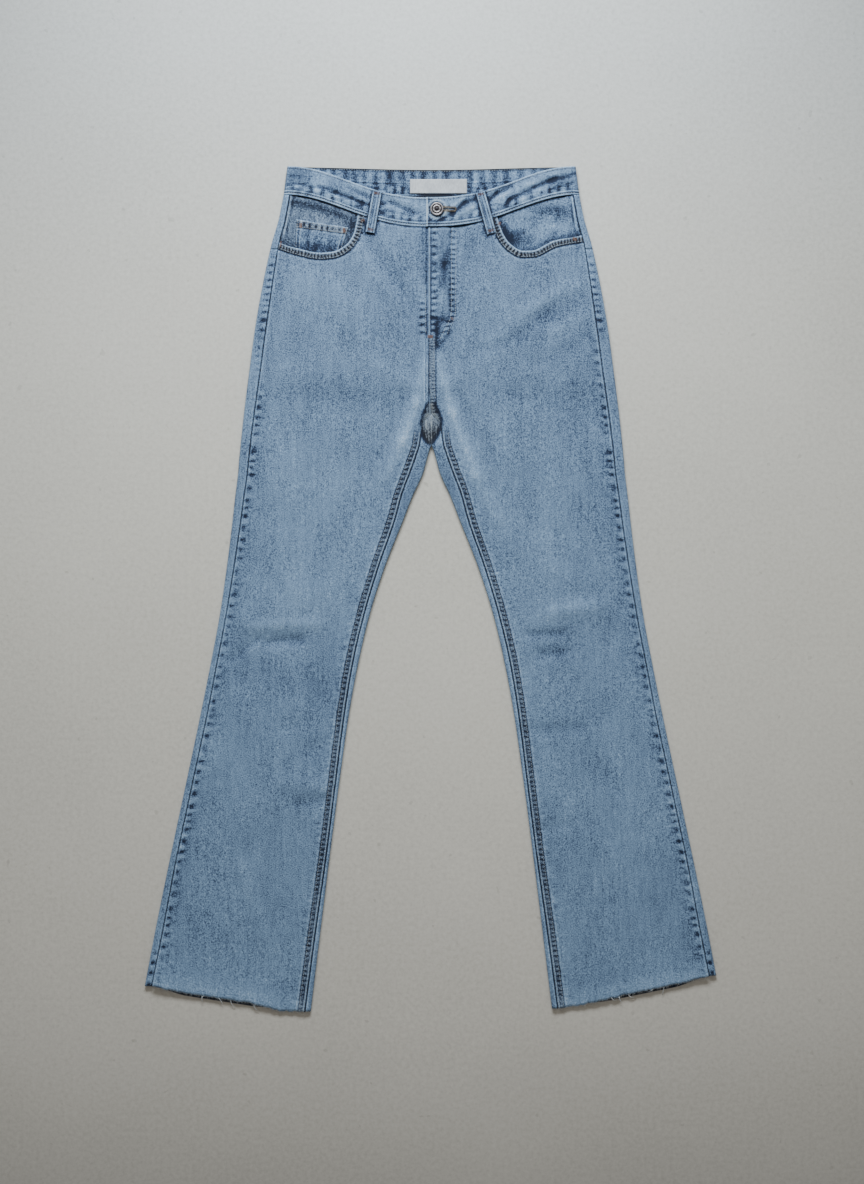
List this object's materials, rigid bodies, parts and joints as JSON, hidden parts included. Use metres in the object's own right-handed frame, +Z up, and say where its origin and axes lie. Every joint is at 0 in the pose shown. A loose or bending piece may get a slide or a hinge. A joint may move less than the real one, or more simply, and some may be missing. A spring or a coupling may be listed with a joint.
{
  "type": "flared jeans",
  "caption": "High-rise flared denim jeans with a raw hem, pockets, belt loops, fly and shank button, laid flat with the front up.",
  "frame": {"origin": "on the resting plane under the middle of the laid garment's bounding box", "axes": "+Z up out of the front of the jeans, +Y along the garment towards the waistband, +X towards the wearer's left leg"},
  "size_m": [0.7309, 1.0798, 0.0128],
  "materials": {
    "denim_front_left": "washed twill",
    "denim_front_right": "washed twill",
    "denim_back_left": "washed twill",
    "denim_back_right": "washed twill",
    "denim_yoke_left": "washed twill",
    "denim_yoke_right": "washed twill",
    "denim_facing_left": "washed twill",
    "denim_facing_right": "washed twill",
    "denim_coin_pocket": "washed twill",
    "denim_back_pocket_left": "washed twill",
    "denim_back_pocket_right": "washed twill",
    "denim_waistband": "washed twill",
    "denim_loop_front_left": "washed twill",
    "denim_loop_front_right": "washed twill",
    "denim_loop_back_left": "washed twill",
    "denim_loop_back_centre": "washed twill",
    "denim_loop_back_right": "washed twill",
    "woven_label": "woven satin",
    "zip_tape": "plain",
    "button_metal": "worn plating"
  },
  "bodies": {
    "root": {"front_left": "denim_front_left", "front_right": "denim_front_right", "back_left": "denim_back_left", "back_right": "denim_back_right", "yoke_left": "denim_yoke_left", "yoke_right": "denim_yoke_right", "pocket_facing_left": "denim_facing_left", "pocket_facing_right": "denim_facing_right", "coin_pocket": "denim_coin_pocket", "back_pocket_left": "denim_back_pocket_left", "back_pocket_right": "denim_back_pocket_right", "waistband": "denim_waistband", "belt_loop_front_left": "denim_loop_front_left", "belt_loop_front_right": "denim_loop_front_right", "belt_loop_back_left": "denim_loop_back_left", "belt_loop_back_centre": "denim_loop_back_centre", "belt_loop_back_right": "denim_loop_back_right", "label": "woven_label", "zip": "zip_tape", "button": "button_metal"}
  },
  "joints": []
}
